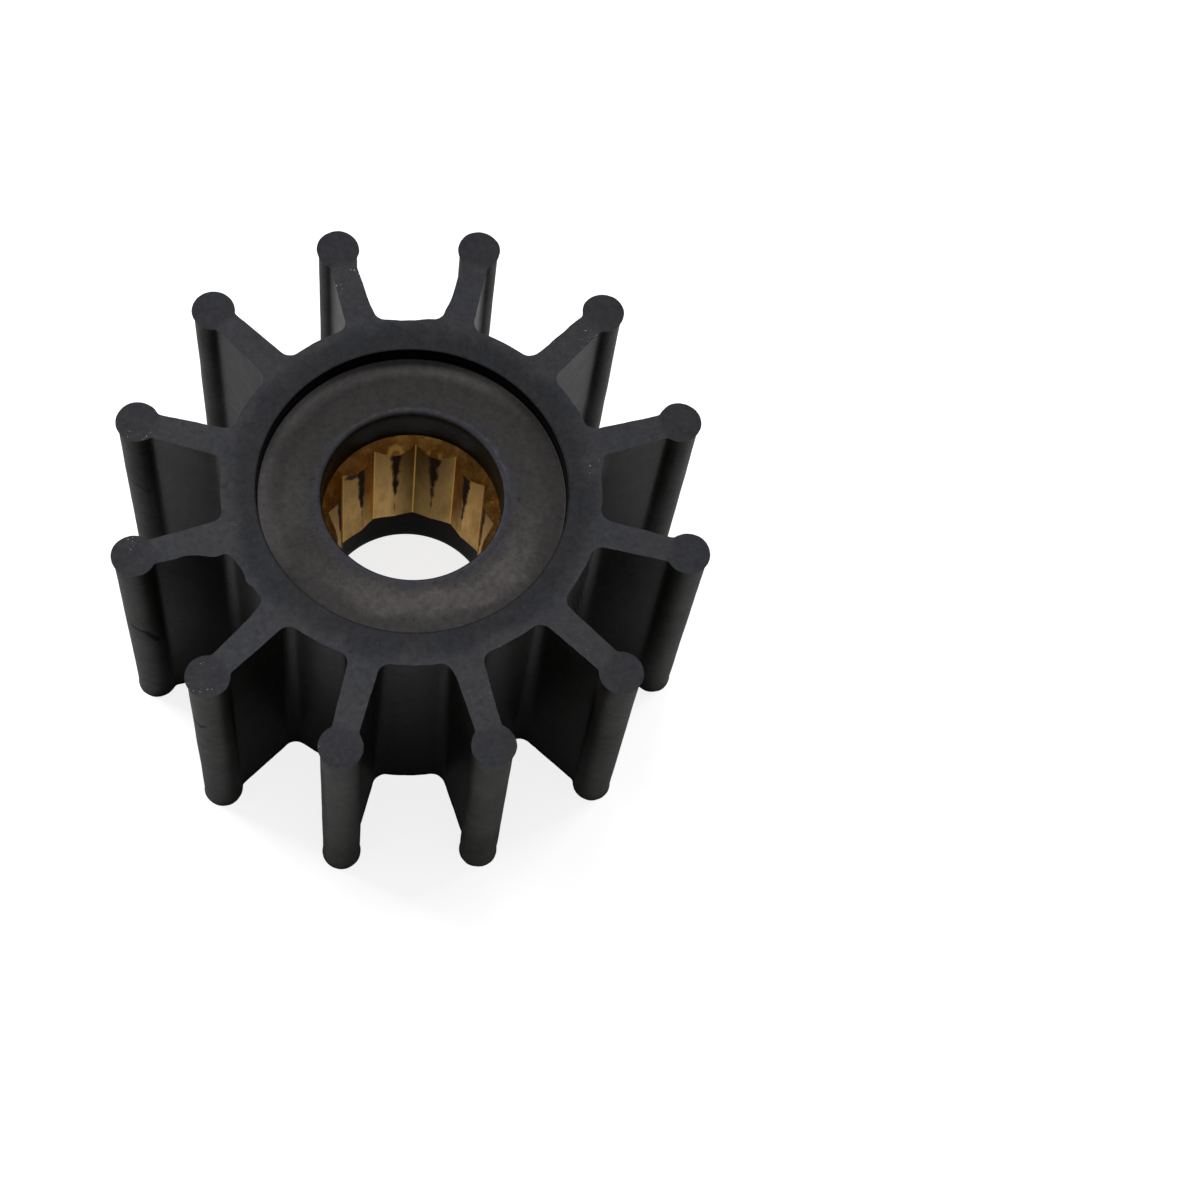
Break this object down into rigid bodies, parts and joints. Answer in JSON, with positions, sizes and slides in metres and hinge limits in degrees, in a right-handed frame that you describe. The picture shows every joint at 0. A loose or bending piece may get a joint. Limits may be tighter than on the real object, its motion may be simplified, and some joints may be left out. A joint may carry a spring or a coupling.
{
  "type": "rubber pump impeller",
  "caption": "Flexible rubber pump impeller: straight radial blades with round tip beads on a hub with recessed ends, moulded round a brass bush with a twelve-point sliding bore.",
  "frame": {"origin": "centre of the lower end face, on the shaft axis", "axes": "+Z along the shaft axis towards the end whose rubber bore is shorter; +Y and +X each pass through the middle of a valley between two blades"},
  "size_m": [0.0554, 0.0554, 0.0318],
  "materials": {
    "black_rubber": "matt moulded rubber with ground end faces",
    "bush_brass": "satin, as broached, with dark residue on the tooth crests"
  },
  "bodies": {
    "root": {"rubber_body": "black_rubber", "splined_bush": "bush_brass"}
  },
  "joints": []
}
